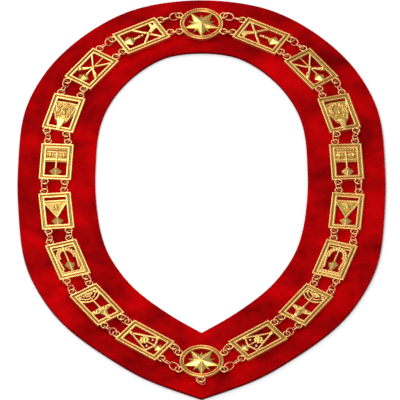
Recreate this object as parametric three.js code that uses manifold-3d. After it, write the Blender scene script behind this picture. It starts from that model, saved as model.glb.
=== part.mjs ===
// A chain of office: sixteen pierced cast plates and two star medallions, joined in a loop by jump rings
// at both edges, lying on the heart-shaped velvet band that carries them on the wearer's shoulders.
// Millimetres, +Z up. The band lies flat on z = 0 and its point is towards -Y.

import * as THREE from 'three';
import { mergeVertices } from 'three/addons/utils/BufferGeometryUtils.js';
import { ConvexGeometry } from 'three/addons/geometries/ConvexGeometry.js';
import Module from 'manifold-3d';

const wasm = await Module();
wasm.setup();

// Driving dimensions of the plates
const plateWidth = 30;
const plateLength = 46;
const sideBar = 5.2;
const endBar = 5.4;
const barHeight = 2.5;
const outerRimWidth = 1.3;
const outerRimHeight = 0.8;
const innerRimWidth = 1.3;
const innerRimHeight = 0.6;
const platesPerSide = 8;

// The pierced panels and the relief that is cast on them
const panelHeight = 2.2;
const reliefHeight = 2.8;
const slimBar = 1.6;
const mediumBar = 2.2;
const broadBar = 4.2;
const pillarBar = 7;
const starHalfWidth = 5.6;
const starAbove = 6;
const starBelow = 8.4;
const starPeak = 4.4;
const lumpRadius = 1.6;
const lumpPeak = 3.4;
const bulbRadius = 2.2;
const bossRadius = 3.6;
const rosetteRadius = 4.6;

// Driving dimensions of the medallions
const medallionRadius = 20.3;
const medallionBand = 4.4;
const medallionRimWidth = 1.3;
const medallionStarPeak = 5.2;
const medallionEarAngle = 27;

// The medallion's star and the rays behind it, as shares of the space inside its band
const medallionStarWaist = 0.42;
const medallionRayReach = 0.72;
const medallionRayWaist = 0.26;

// Ears, cast on the ends of the plates and on the medallions' rims
const earRadius = 3.2;
const earWire = 0.7;
const earReach = 2.9;
const earHeight = 2.6;
const earInset = 5.7;

// Jump rings, and the spaces that they bridge
const linkWire = 0.6;
const linkHalfWidth = 3.2;
const linkTilt = 40;
const linkBite = 0.38;
const longestSingleSpan = 13.5;
const plateGap = 17.6;
const medallionGap = 15.5;

// The ring for a jewel, below the lower medallion
const pendantHalfWidth = 4.6;
const pendantHalfLength = 3.6;
const pendantTilt = 30;
const pendantLift = 0.8;
const pendantInset = 1;

// The velvet band
const bandWidth = 72;
const bandThickness = 3;
const bandRoll = 1.2;
const seat = 0.3;
const chainBelowBandLine = 3.6;

// The line that the chain follows, from the upper medallion down one side to the lower one. Each row is a
// point, aside of the middle and along it, as shares of the length of the whole chain.
const chainRoute = [
  { aside: 0.0, along: 0.201 },
  { aside: 0.049, along: 0.187 },
  { aside: 0.09, along: 0.149 },
  { aside: 0.113, along: 0.098 },
  { aside: 0.119, along: 0.043 },
  { aside: 0.119, along: -0.012 },
  { aside: 0.11, along: -0.068 },
  { aside: 0.086, along: -0.121 },
  { aside: 0.047, along: -0.162 },
  { aside: 0.0, along: -0.186 },
];

// The edges of the velvet band on either side of that line. A row's place is a share of the way from the
// upper medallion to the lower one, and its reaches are shares of the band's width.
const bandEdges = [
  { place: 0.0, outward: 0.42, inward: 0.52 },
  { place: 0.1, outward: 0.465, inward: 0.485 },
  { place: 0.22, outward: 0.468, inward: 0.508 },
  { place: 0.33, outward: 0.492, inward: 0.506 },
  { place: 0.44, outward: 0.488, inward: 0.506 },
  { place: 0.56, outward: 0.487, inward: 0.518 },
  { place: 0.67, outward: 0.54, inward: 0.52 },
  { place: 0.78, outward: 0.537, inward: 0.549 },
  { place: 0.89, outward: 0.52, inward: 0.547 },
  { place: 0.95, outward: 0.535, inward: 0.519 },
  { place: 1.0, outward: 0.655, inward: 0.489 },
];

// How finely the round forms are divided
const bandSteps = 20;
const linkSides = 10;
const linkWireSides = 5;
const earSteps = 6;
const earWireSides = 4;
const medallionSides = 22;
const arcSteps = 5;
const lumpSides = 4;
const lineDivisions = 2000;

// Corners nearer than this are one corner, and faces flatter than this are one face
const sameCorner = 1e-4;
const sameFace = 0.005;

const degree = Math.PI / 180;

// Materials
const velvet = new THREE.MeshStandardMaterial({ color: 0xb20008, roughness: 0.95, metalness: 0 });
const gilt = new THREE.MeshStandardMaterial({ color: 0xdcbe46, roughness: 0.28, metalness: 1 });

// A closed mesh with shared corners, as a solid that can be joined and cut
function solid(geometry) {
  geometry.deleteAttribute('normal');
  geometry.deleteAttribute('uv');
  const merged = mergeVertices(geometry, sameCorner);
  return new wasm.Manifold(
    new wasm.Mesh({
      numProp: 3,
      vertProperties: new Float32Array(merged.attributes.position.array),
      triVerts: new Uint32Array(merged.index.array),
    }),
  );
}

// Solids joined into one, with the needless corners that the joins leave on flat faces taken out
function fuse(solids) {
  const whole = solids.reduce((joined, piece) => joined.add(piece));
  return whole.asOriginal().simplify(sameFace);
}

function meshOf(name, body, material) {
  const data = body.getMesh();
  const geometry = new THREE.BufferGeometry();
  geometry.setAttribute('position', new THREE.Float32BufferAttribute(data.vertProperties, 3));
  geometry.setIndex(Array.from(data.triVerts));
  geometry.computeVertexNormals();
  const mesh = new THREE.Mesh(geometry, material);
  mesh.name = name;
  return mesh;
}

function flat(points) {
  return points.map(([x, y]) => new THREE.Vector2(x, y));
}

function rectangle(width, length) {
  return flat([
    [-width / 2, -length / 2],
    [width / 2, -length / 2],
    [width / 2, length / 2],
    [-width / 2, length / 2],
  ]);
}

// An outline, with holes in it, raised from one height to another
function prism(outline, bottom, top, holes = []) {
  const shape = new THREE.Shape(outline);
  shape.holes = holes.map((hole) => new THREE.Path(hole));
  const geometry = new THREE.ExtrudeGeometry(shape, { depth: top - bottom, bevelEnabled: false });
  return solid(geometry.translate(0, 0, bottom));
}

// The pierced window inside a plate's frame
const windowHalfWidth = plateWidth / 2 - sideBar;
const windowHalfLength = plateLength / 2 - endBar;

// Places on a plate are shares of its window's half width and half length
function place([across, up]) {
  return new THREE.Vector2(across * windowHalfWidth, up * windowHalfLength);
}

function bar(from, to, width, top = reliefHeight, endWidth = width) {
  const start = place(from);
  const end = place(to);
  const side = end.clone().sub(start).normalize().rotateAround(new THREE.Vector2(), Math.PI / 2);
  const outline = [
    start.clone().addScaledVector(side, -width / 2),
    end.clone().addScaledVector(side, -endWidth / 2),
    end.clone().addScaledVector(side, endWidth / 2),
    start.clone().addScaledVector(side, width / 2),
  ];
  return prism(outline, 0, top);
}

function panel(corners, top = panelHeight) {
  return prism(corners.map(place), 0, top);
}

// A raised arc round a centre, between two angles. Its reach is a share of the window's half width.
function arc(centre, reach, width, from, to, top = reliefHeight) {
  const middle = place(centre);
  const radius = reach * windowHalfWidth;
  const outline = [];
  for (let step = 0; step <= arcSteps; step += 1) {
    const angle = (from + ((to - from) * step) / arcSteps) * degree;
    const rim = new THREE.Vector2(Math.cos(angle), Math.sin(angle));
    outline.push(middle.clone().addScaledVector(rim, radius + width / 2));
  }
  for (let step = arcSteps; step >= 0; step -= 1) {
    const angle = (from + ((to - from) * step) / arcSteps) * degree;
    const rim = new THREE.Vector2(Math.cos(angle), Math.sin(angle));
    outline.push(middle.clone().addScaledVector(rim, radius - width / 2));
  }
  return prism(outline, 0, top);
}

// A cast lump: a low cone, for beads, leaves, bulbs and bosses
function lump(centre, radius = lumpRadius, peak = lumpPeak, sides = lumpSides) {
  const middle = place(centre);
  const low = panelHeight / 2;
  const cone = new THREE.CylinderGeometry(radius / 2, radius, peak - low, sides, 1);
  cone.rotateX(Math.PI / 2).translate(middle.x, middle.y, (peak + low) / 2);
  return solid(cone);
}

// The faceted star drop at the foot of a plate: four points round a peak
function starDrop(centre, size = 1) {
  const middle = place(centre);
  const rim = [
    [0, starAbove * size],
    [-starHalfWidth * size, 0],
    [0, -starBelow * size],
    [starHalfWidth * size, 0],
  ];
  const corners = rim.flatMap(([x, y]) => [
    new THREE.Vector3(middle.x + x, middle.y + y, 0),
    new THREE.Vector3(middle.x + x, middle.y + y, barHeight),
  ]);
  corners.push(new THREE.Vector3(middle.x, middle.y, starPeak));
  return solid(new ConvexGeometry(corners));
}

// The eight designs in the windows, from the plate next to the upper medallion downwards
const footStar = [0, -0.68];

const designs = [
  function crossedBatons() {
    return [
      bar([-0.5, 1.05], [1.05, -0.15], broadBar, reliefHeight, slimBar),
      bar([-1.05, -0.2], [1.05, 0.95], mediumBar),
      bar([-1.05, 0.82], [-0.5, 0.82], mediumBar),
      bar([0, 0.4], [0, -0.5], slimBar),
      starDrop(footStar),
    ];
  },
  function crossedTorches() {
    return [
      bar([-1.05, 0.85], [1.05, -0.35], slimBar, reliefHeight, broadBar),
      bar([1.05, 0.92], [-1.05, -0.45], slimBar, reliefHeight, broadBar),
      bar([0, 1.05], [0, -0.5], slimBar),
      starDrop(footStar),
    ];
  },
  function crest() {
    return [
      panel([
        [-1.05, 0.87],
        [-1.05, 0.1],
        [-0.66, -0.5],
        [-0.3, -0.78],
        [0.3, -0.78],
        [0.66, -0.5],
        [1.05, 0.1],
        [1.05, 0.87],
      ]),
      arc([0, 0.28], 0.67, slimBar, -60, 240),
      lump([0, 0.34], bossRadius, starPeak, lumpSides + 2),
      lump([-0.42, -0.22]),
      lump([0.42, -0.22]),
      lump([0, -0.34]),
      bar([0, -0.55], [0, -1.2], pillarBar, reliefHeight, mediumBar),
    ];
  },
  function beadRow() {
    const beads = [-0.78, -0.39, 0, 0.39, 0.78].map((across) => lump([across, 0.92]));
    const bulbs = [-0.68, 0.68].map((across) => lump([across, 0.5], bulbRadius, starPeak));
    return [
      panel([
        [-1.05, 0.04],
        [1.05, 0.04],
        [1.05, 1.05],
        [-1.05, 1.05],
      ]),
      ...beads,
      ...bulbs,
      bar([-0.9, 0.72], [0.9, 0.72], slimBar),
      bar([-0.7, 0.5], [0.7, 0.5], slimBar),
      bar([-1.05, 0.14], [1.05, 0.14], slimBar),
      bar([0, 0.5], [0, -0.5], slimBar),
      starDrop(footStar),
    ];
  },
  function invertedTriangle() {
    return [
      panel([
        [-1.05, 0.78],
        [-1.05, 0.62],
        [0, -0.5],
        [1.05, 0.62],
        [1.05, 0.78],
      ]),
      bar([-1.05, 0.62], [0, -0.45], slimBar),
      bar([1.05, 0.62], [0, -0.45], slimBar),
      bar([-1.05, 0.7], [1.05, 0.7], slimBar),
      lump([0, 0.34], bulbRadius),
      starDrop(footStar),
    ];
  },
  function wreath() {
    const archFoot = 0.3;
    const archReach = 0.76;
    const hangingStar = [0, -0.32];
    const leaves = [-15, 35, 90, 145, 195].map((angle) => {
      const radius = archReach * windowHalfWidth;
      const across = archReach * Math.cos(angle * degree);
      const up = archFoot + (radius * Math.sin(angle * degree)) / windowHalfLength;
      return lump([across, up]);
    });
    return [
      arc([0, archFoot], archReach, broadBar, -5, 185),
      bar([-0.86, archFoot], [-0.86, -1.05], broadBar),
      bar([0.86, archFoot], [0.86, -1.05], broadBar),
      bar([-1.05, -0.98], [1.05, -0.98], broadBar),
      ...leaves,
      bar([0, 1.05], hangingStar, slimBar),
      starDrop(hangingStar, 1.05),
    ];
  },
  function sunArcs() {
    return [
      arc([0, 1.02], 1.04, mediumBar, 200, 340),
      arc([0, 1.02], 0.59, slimBar, 190, 350),
      bar([0, 1.05], [0, -0.2], slimBar),
      lump([0, 0.94], bulbRadius, starPeak),
      panel([
        [-1.05, -0.18],
        [-0.3, -0.7],
        [0.3, -0.7],
        [1.05, -0.18],
      ]),
      bar([0, -0.15], [0, -1.2], broadBar, starPeak, mediumBar),
    ];
  },
  function spreadLegs() {
    return [
      bar([-0.02, 1.02], [-1.05, -0.5], mediumBar),
      bar([0.02, 1.02], [1.05, -0.5], mediumBar),
      bar([0, 1.05], [0, 0.8], mediumBar, starPeak),
      lump([0, 0.08], rosetteRadius, lumpPeak, lumpSides * 2),
      lump([0, 0.08], bulbRadius, starPeak),
      bar([-1.05, -0.46], [0, -0.66], mediumBar),
      bar([1.05, -0.46], [0, -0.66], mediumBar),
      bar([0, 0], [0, -0.7], slimBar),
      starDrop([0, -0.86], 0.85),
    ];
  },
];

// A plate's frame: a flat bar all round with a raised rim at either edge and a groove between them
function plateFrame() {
  const opening = rectangle(2 * windowHalfWidth, 2 * windowHalfLength);
  const outline = rectangle(plateWidth, plateLength);
  const insideRim = rectangle(plateWidth - 2 * outerRimWidth, plateLength - 2 * outerRimWidth);
  const innerRim = rectangle(
    2 * (windowHalfWidth + innerRimWidth),
    2 * (windowHalfLength + innerRimWidth),
  );
  return fuse([
    prism(outline, 0, barHeight, [opening]),
    prism(outline, barHeight / 2, barHeight + outerRimHeight, [insideRim]),
    prism(innerRim, barHeight / 2, barHeight + innerRimHeight, [opening]),
  ]);
}

// One round ear: a bent wire whose ends run into the metal behind it. It opens along +X.
function ear() {
  const behind = Math.PI - Math.acos(Math.min(1, earReach / earRadius)) / 2;
  const wire = new THREE.TorusGeometry(earRadius, earWire, earWireSides, earSteps, 2 * behind);
  const points = wire.attributes.position;
  const ends = [];
  for (let corner = 0; corner < earWireSides; corner += 1) {
    const row = corner * (earSteps + 1);
    ends.push([row, row + earSteps]);
  }
  const index = Array.from(wire.index.array);
  for (let corner = 1; corner < earWireSides - 1; corner += 1) {
    index.push(ends[0][0], ends[corner][0], ends[corner + 1][0]);
    index.push(ends[0][1], ends[corner + 1][1], ends[corner][1]);
  }
  const bent = new THREE.BufferGeometry();
  bent.setAttribute('position', points);
  bent.setIndex(index);
  bent.rotateZ(-behind);
  return solid(bent.translate(0, 0, earHeight));
}

// Where a plate's four ears have their holes, on the plate
function plateEars() {
  const along = plateLength / 2 + earReach;
  const aside = plateWidth / 2 - earInset;
  return {
    nearOuter: new THREE.Vector2(aside, along),
    nearInner: new THREE.Vector2(-aside, along),
    farOuter: new THREE.Vector2(aside, -along),
    farInner: new THREE.Vector2(-aside, -along),
  };
}

function turned(body, angle, x, y, z = 0) {
  return body.rotate([0, 0, angle / degree]).translate([x, y, z]);
}

function plateBody(design) {
  const ears = Object.values(plateEars()).map((hole) =>
    turned(ear(), hole.y > 0 ? Math.PI / 2 : -Math.PI / 2, hole.x, hole.y),
  );
  return fuse([plateFrame(), ...design(), ...ears]);
}

// Where a medallion has the hole of an ear, at an angle from +X
function medallionEar(angle) {
  return new THREE.Vector2(medallionRadius + earReach, 0).rotateAround(new THREE.Vector2(), angle * degree);
}

// A medallion: a round band with two rims, and a five-pointed star with short rays between its points
function medallionBody(earAngles) {
  const inner = medallionRadius - medallionBand;
  const profile = flat([
    [inner, 0],
    [medallionRadius, 0],
    [medallionRadius, barHeight + outerRimHeight],
    [medallionRadius - medallionRimWidth, barHeight + outerRimHeight],
    [medallionRadius - medallionRimWidth, barHeight],
    [inner + medallionRimWidth, barHeight],
    [inner + medallionRimWidth, barHeight + innerRimHeight],
    [inner, barHeight + innerRimHeight],
    [inner, 0],
  ]);
  const band = new THREE.LatheGeometry(profile, medallionSides).rotateX(Math.PI / 2);
  const ears = earAngles.map((angle) => {
    const hole = medallionEar(angle);
    return turned(ear(), angle * degree, hole.x, hole.y);
  });
  const rays = pointedStar(inner * medallionRayReach, inner * medallionRayWaist, panelHeight, 1);
  const reach = inner + medallionRimWidth / 2;
  const star = pointedStar(reach, inner * medallionStarWaist, medallionStarPeak, -1);
  return fuse([solid(band), rays, star, ...ears]);
}

// A star with five points and a peak in its middle, with its first point towards +Y or -Y
function pointedStar(reach, waist, peak, facing) {
  const corners = 10;
  const profile = flat([
    [0, 0],
    [1, 0],
    [1, panelHeight / 2],
    [0, peak],
  ]);
  const star = new THREE.LatheGeometry(profile, corners).rotateX(Math.PI / 2);
  const points = star.attributes.position;
  for (let i = 0; i < points.count; i += 1) {
    const angle = Math.atan2(points.getY(i), points.getX(i));
    const far = Math.hypot(points.getX(i), points.getY(i));
    const corner = Math.round(((angle - Math.PI / 2) / (2 * Math.PI)) * corners);
    const radius = far * (corner % 2 === 0 ? reach : waist);
    points.setXY(i, facing * radius * Math.cos(angle), facing * radius * Math.sin(angle));
  }
  return solid(star);
}

// One jump ring: a round ring of wire, drawn out or pressed in along X to the length that is wanted
function linkRing(halfLength, halfWidth, wire) {
  const ring = new THREE.TorusGeometry(halfWidth, wire, linkWireSides, linkSides);
  const points = ring.attributes.position;
  for (let i = 0; i < points.count; i += 1) {
    const endwise = points.getX(i) / Math.hypot(points.getX(i), points.getY(i));
    points.setX(i, points.getX(i) + endwise * (halfLength - halfWidth));
  }
  return solid(ring);
}

// The rings between two ear holes: one where they are near, or two that hook through each other
function joinBody(from, to, lean) {
  const span = from.distanceTo(to);
  const heading = Math.atan2(to.y - from.y, to.x - from.x);
  const height = bandThickness + seat + earHeight;
  const along = new THREE.Vector2(Math.cos(heading), Math.sin(heading));
  if (span <= longestSingleSpan) {
    const middle = from.clone().add(to).multiplyScalar(0.5);
    const ring = linkRing(span / 2, linkHalfWidth, linkWire).rotate([lean * linkTilt, 0, 0]);
    return turned(ring, heading, middle.x, middle.y, height);
  }
  const halfLength = (span + 2 * linkWire - linkBite) / 4;
  const rings = [
    [from.clone().addScaledVector(along, halfLength), lean],
    [to.clone().addScaledVector(along, -halfLength), -lean],
  ];
  return fuse(
    rings.map(([middle, side]) => {
      const ring = linkRing(halfLength, linkHalfWidth, linkWire).rotate([side * linkTilt, 0, 0]);
      return turned(ring, heading, middle.x, middle.y, height);
    }),
  );
}

// The chain's line, sized so that its length is that of the plates, the medallions and the gaps
const halfChain =
  2 * (medallionRadius + medallionGap + plateLength / 2) +
  (platesPerSide - 1) * (plateLength + plateGap);

function chainLine() {
  const down = chainRoute.map((row) => new THREE.Vector3(row.aside, row.along, 0));
  const up = down.slice(1, -1).reverse();
  const points = [...down, ...up.map((point) => new THREE.Vector3(-point.x, point.y, 0))];
  const shares = new THREE.CatmullRomCurve3(points, true, 'centripetal');
  const size = (2 * halfChain) / shares.getLength();
  const sized = points.map((point) => point.multiplyScalar(size));
  const line = new THREE.CatmullRomCurve3(sized, true, 'centripetal');
  line.arcLengthDivisions = lineDivisions;
  return line;
}

const line = chainLine();

// A point beside the line, at a share of the way from the upper medallion to the lower one
function beside(share, reach) {
  const point = line.getPointAt(share / 2);
  const tangent = line.getTangentAt(share / 2);
  return new THREE.Vector2(point.x - tangent.y * reach, point.y + tangent.x * reach);
}

// One edge of the band, from the upper middle to the lower one. It starts level, so that the two halves
// meet smoothly at the top, and ends in the point of the heart.
function bandEdge(column, side) {
  const rows = bandEdges.map((row) => beside(row.place, side * row[column] * bandWidth));
  const before = new THREE.Vector2(-rows[1].x, rows[1].y);
  const points = [before, ...rows].map((point) => new THREE.Vector3(point.x, point.y, 0));
  const edge = new THREE.CatmullRomCurve3(points, false, 'centripetal');
  const steps = [];
  for (let step = 0; step <= bandSteps; step += 1) {
    const start = 1 / (points.length - 1);
    steps.push(edge.getPoint(start + ((1 - start) * step) / bandSteps));
  }
  return steps;
}

const outerEdge = bandEdge('outward', 1);
const innerEdge = bandEdge('inward', -1);

// The whole thing is centred along Y on the band's length, and the chain lies a little nearer to the point
// of the heart than the line that the band's edges follow
const centring = -(outerEdge[0].y + outerEdge[bandSteps].y) / 2;
const chainCentring = centring - chainBelowBandLine;

// The velvet band: a flat loop of cloth over a stiff lining, with rolled edges
function bandBody() {
  const section = [
    { across: 0, inset: bandRoll, height: 0 },
    { across: 0, inset: 0, height: bandThickness / 2 },
    { across: 0, inset: bandRoll, height: bandThickness },
    { across: 1, inset: bandRoll, height: bandThickness },
    { across: 1, inset: 0, height: bandThickness / 2 },
    { across: 1, inset: bandRoll, height: 0 },
  ];
  const stations = [];
  for (let step = 0; step <= bandSteps; step += 1) {
    stations.push([innerEdge[step], outerEdge[step]]);
  }
  for (let step = bandSteps - 1; step > 0; step -= 1) {
    stations.push([innerEdge[step], outerEdge[step]].map((p) => new THREE.Vector3(-p.x, p.y, 0)));
  }
  const corners = [];
  stations.forEach(([inner, outer]) => {
    const across = outer.clone().sub(inner);
    const width = across.length();
    section.forEach((row) => {
      const share = row.across === 0 ? row.inset / width : 1 - row.inset / width;
      const point = inner.clone().addScaledVector(across, share);
      corners.push(point.x, point.y, row.height);
    });
  });
  const rows = section.length;
  const faces = [];
  stations.forEach((_, station) => {
    const next = (station + 1) % stations.length;
    section.forEach((__, row) => {
      const beyond = (row + 1) % rows;
      const a = station * rows + row;
      const b = next * rows + row;
      const c = next * rows + beyond;
      const d = station * rows + beyond;
      faces.push(a, b, c, a, c, d);
    });
  });
  const geometry = new THREE.BufferGeometry();
  geometry.setAttribute('position', new THREE.Float32BufferAttribute(corners, 3));
  geometry.setIndex(faces);
  return solid(geometry);
}

// The pieces in their places
const chain = new THREE.Group();
chain.add(meshOf('velvet_collar', bandBody().translate([0, centring, 0]), velvet));

const plateBodies = designs.map(plateBody);
const metalHeight = bandThickness + seat;

// The ear holes next to each gap of one side, from the upper medallion down
function sideOfChain(sideName, mirror) {
  const ears = plateEars();
  const gaps = [];
  const beforeMedallion = (share, angle) => {
    const hole = medallionEar(angle);
    return new THREE.Vector2(mirror * hole.x, line.getPointAt(share / 2).y + chainCentring + hole.y);
  };
  let outer = beforeMedallion(0, medallionEarAngle);
  let inner = beforeMedallion(0, -medallionEarAngle);
  for (let number = 1; number <= platesPerSide; number += 1) {
    const travelled =
      medallionRadius + medallionGap + plateLength / 2 + (number - 1) * (plateLength + plateGap);
    const share = travelled / (2 * halfChain);
    const point = line.getPointAt(share);
    const tangent = line.getTangentAt(share);
    const turn = Math.atan2(mirror * tangent.x, -tangent.y);
    const centre = new THREE.Vector2(mirror * point.x, point.y + chainCentring);
    const mesh = meshOf(`plate_${sideName}_${number}`, plateBodies[number - 1], gilt);
    mesh.position.set(centre.x, centre.y, metalHeight);
    mesh.rotation.z = turn;
    chain.add(mesh);
    const onTable = (hole, outward) =>
      new THREE.Vector2(outward * mirror * Math.abs(hole.x), hole.y)
        .rotateAround(new THREE.Vector2(), turn)
        .add(centre);
    gaps.push([outer, onTable(ears.nearOuter, 1), inner, onTable(ears.nearInner, -1)]);
    outer = onTable(ears.farOuter, 1);
    inner = onTable(ears.farInner, -1);
  }
  const lastOuter = beforeMedallion(1, -medallionEarAngle);
  gaps.push([outer, lastOuter, inner, beforeMedallion(1, medallionEarAngle)]);
  gaps.forEach(([outerFrom, outerTo, innerFrom, innerTo], gap) => {
    const number = gap + 1;
    chain.add(meshOf(`links_${sideName}_outer_${number}`, joinBody(outerFrom, outerTo, mirror), gilt));
    chain.add(meshOf(`links_${sideName}_inner_${number}`, joinBody(innerFrom, innerTo, -mirror), gilt));
  });
}

const sideways = [
  medallionEarAngle,
  -medallionEarAngle,
  180 - medallionEarAngle,
  180 + medallionEarAngle,
];
const upperMedallion = meshOf('medallion_top', medallionBody(sideways), gilt);
upperMedallion.position.set(0, line.getPointAt(0).y + chainCentring, metalHeight);
const lowerMedallion = meshOf('medallion_bottom', medallionBody([...sideways, -90]), gilt);
lowerMedallion.position.set(0, line.getPointAt(0.5).y + chainCentring, metalHeight);
chain.add(upperMedallion, lowerMedallion);
sideOfChain('left', -1);
sideOfChain('right', 1);

// The ring that a jewel hangs from, through the ear at the foot of the lower medallion
const footEar = lowerMedallion.position.y - medallionRadius - earReach;
const pendant = linkRing(pendantHalfLength, pendantHalfWidth, linkWire)
  .translate([0, pendantLift, 0])
  .rotate([pendantTilt, 0, 0])
  .rotate([0, 0, 90])
  .translate([0, footEar + pendantInset - pendantHalfLength, metalHeight + earHeight]);
chain.add(meshOf('pendant_ring', pendant, gilt));

export default chain;
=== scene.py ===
# %% [markdown]
# # A chain of office on its velvet collar
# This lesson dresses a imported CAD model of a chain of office. The model comes in as a fixed frame: every
# node is already at its real size and place, so nothing here is fitted by eye. Each node is then either
# given a finish or replaced by a finer piece that stands exactly where the node stands.

import math

import bmesh
import bpy
from mathutils import Matrix, Vector, noise


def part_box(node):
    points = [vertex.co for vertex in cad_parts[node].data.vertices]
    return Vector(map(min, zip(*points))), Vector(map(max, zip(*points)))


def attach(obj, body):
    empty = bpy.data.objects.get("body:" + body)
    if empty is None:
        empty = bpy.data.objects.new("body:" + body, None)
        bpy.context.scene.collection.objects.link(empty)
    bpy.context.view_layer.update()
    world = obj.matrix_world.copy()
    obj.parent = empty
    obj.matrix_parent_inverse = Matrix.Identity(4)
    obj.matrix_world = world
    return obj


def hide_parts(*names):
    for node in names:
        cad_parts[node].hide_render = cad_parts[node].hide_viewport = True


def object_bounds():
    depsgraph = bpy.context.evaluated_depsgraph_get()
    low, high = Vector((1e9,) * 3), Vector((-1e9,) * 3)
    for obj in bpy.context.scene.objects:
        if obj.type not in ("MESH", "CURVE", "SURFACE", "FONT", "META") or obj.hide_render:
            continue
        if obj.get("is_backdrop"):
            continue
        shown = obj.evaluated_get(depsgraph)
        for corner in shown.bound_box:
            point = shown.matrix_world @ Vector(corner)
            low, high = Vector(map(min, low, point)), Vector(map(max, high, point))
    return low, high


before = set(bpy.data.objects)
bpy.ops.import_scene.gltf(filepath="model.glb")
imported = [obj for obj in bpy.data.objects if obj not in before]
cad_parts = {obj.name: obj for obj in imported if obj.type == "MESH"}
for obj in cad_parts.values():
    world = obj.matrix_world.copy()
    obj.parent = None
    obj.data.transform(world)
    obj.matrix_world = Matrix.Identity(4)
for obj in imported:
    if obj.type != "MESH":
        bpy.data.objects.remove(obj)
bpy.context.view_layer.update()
MM = 0.001

# %% [markdown]
# ## The camera
# The collar lies flat and is looked at from a long way off, 45.6 degrees above the table. From there a
# round medallion shows 1.4 times wider than high. A very long lens, far away, keeps the near and the far
# side of the collar at almost the same scale.

# %% Camera
PHOTO_ELEVATION = math.radians(45.6)
FRAME_WIDTH = 0.3686
LENS = 1500
SENSOR = 36
AIM = Vector((-0.0014, -0.0014, 0.0))
FAR_CLIP = 60

backwards = Vector((0, -math.cos(PHOTO_ELEVATION), math.sin(PHOTO_ELEVATION)))
distance = FRAME_WIDTH * LENS / SENSOR
bpy.ops.object.camera_add(location=AIM + backwards * distance)
camera = bpy.context.object
camera.rotation_euler = backwards.to_track_quat("Z", "Y").to_euler()
camera.data.lens = LENS
camera.data.sensor_width = SENSOR
camera.data.clip_end = FAR_CLIP
bpy.context.scene.camera = camera
print("the camera stands", round(distance, 2), "m away")

# %% [markdown]
# ## The studio
# A white table under soft light. One softbox stands behind the collar and a little to its left: the
# flat gold faces mirror it towards the camera, most of all those on the left, and the plates on the
# right stay a deeper gold. The colours are shown as they are, with no film look, so that the red stays red.

# %% Floor, world and lights
bpy.context.scene.view_settings.view_transform = "Standard"


def plain_finish(name, colour, roughness):
    material = bpy.data.materials.new(name)
    material.use_nodes = True
    shader = material.node_tree.nodes["Principled BSDF"]
    shader.inputs["Base Color"].default_value = (*colour, 1)
    shader.inputs["Roughness"].default_value = roughness
    return material


FLOOR_SIZE = 40
FLOOR_DROP = 0.0002
FLOOR_GREY = 0.97
SKY_STRENGTH = 0.45
bpy.ops.mesh.primitive_plane_add(size=FLOOR_SIZE, location=(0, 0, -FLOOR_DROP))
floor = bpy.context.object
floor.name = "floor"
floor.data.materials.append(plain_finish("white_table", (FLOOR_GREY,) * 3, 0.8))
floor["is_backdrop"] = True

world = bpy.data.worlds.new("studio")
world.use_nodes = True
world.node_tree.nodes["Background"].inputs["Color"].default_value = (1, 1, 1, 1)
world.node_tree.nodes["Background"].inputs["Strength"].default_value = SKY_STRENGTH
bpy.context.scene.world = world


def softbox(name, place, towards, width, height, power):
    bpy.ops.object.light_add(type="AREA", location=place)
    lamp = bpy.context.object
    lamp.name = name
    lamp.rotation_euler = (Vector(place) - Vector(towards)).to_track_quat("Z", "Y").to_euler()
    lamp.data.shape = "RECTANGLE"
    lamp.data.size = width
    lamp.data.size_y = height
    lamp.data.energy = power


# Each has its place, the point it looks at, its width and height in metres and its power in watts
softbox("softbox_back_left", (-0.38, 1.2, 0.98), (-0.1, 0.0, 0.0), 0.65, 0.7, 5.5)
softbox("softbox_front", (-0.5, -0.9, 1.7), (0, 0, 0), 1.0, 1.0, 11)
softbox("softbox_top", (-0.15, 0.1, 1.6), (0, 0, 0), 0.8, 0.8, 9)
print("three softboxes and a white table")

# %% [markdown]
# ## Finishes that are shared
# Two effects serve more than one material, so each is a node group with named inputs and outputs. The
# first is a fine grain: the pile of the velvet and the skin of cast metal are both a noise that tips the
# normal, at different scales. The second is the patina of gilt with a painted reflection: what lies low
# is darker and duller, what is rubbed when the chain is worn is brighter, and the rims and steep sides
# are painted rosier, a painted reflection of the red velvet.

# %% Node groups
def new_group(name, inputs, outputs):
    group = bpy.data.node_groups.new(name, "ShaderNodeTree")
    for label, kind, value in inputs:
        socket = group.interface.new_socket(label, in_out="INPUT", socket_type=kind)
        if value is not None:
            socket.default_value = value
    for label, kind in outputs:
        group.interface.new_socket(label, in_out="OUTPUT", socket_type=kind)
    start = group.nodes.new("NodeGroupInput")
    end = group.nodes.new("NodeGroupOutput")
    return group, start, end


def connect(tree, wires):
    for source, output, target, entry in wires:
        tree.links.new(source.outputs[output], target.inputs[entry])


def noise_texture(tree, scale, detail, distortion=0.0):
    texture = tree.nodes.new("ShaderNodeTexNoise")
    texture.inputs["Scale"].default_value = scale
    texture.inputs["Detail"].default_value = detail
    texture.inputs["Distortion"].default_value = distortion
    return texture


def smooth_step(tree, nothing_at=0.0, full_at=1.0):
    step = tree.nodes.new("ShaderNodeMapRange")
    step.interpolation_type = "SMOOTHSTEP"
    step.inputs["From Min"].default_value = nothing_at
    step.inputs["From Max"].default_value = full_at
    return step


def arithmetic(tree, operation):
    sum_node = tree.nodes.new("ShaderNodeMath")
    sum_node.operation = operation
    return sum_node


# The sockets of a colour mix: its two colours and its result
MIX_FIRST, MIX_SECOND, MIX_RESULT = 6, 7, 2


def colour_mix(tree):
    mix = tree.nodes.new("ShaderNodeMix")
    mix.data_type = "RGBA"
    return mix


GRAIN_DETAIL = 3
GRAIN_DISTANCE = 0.0004


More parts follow.
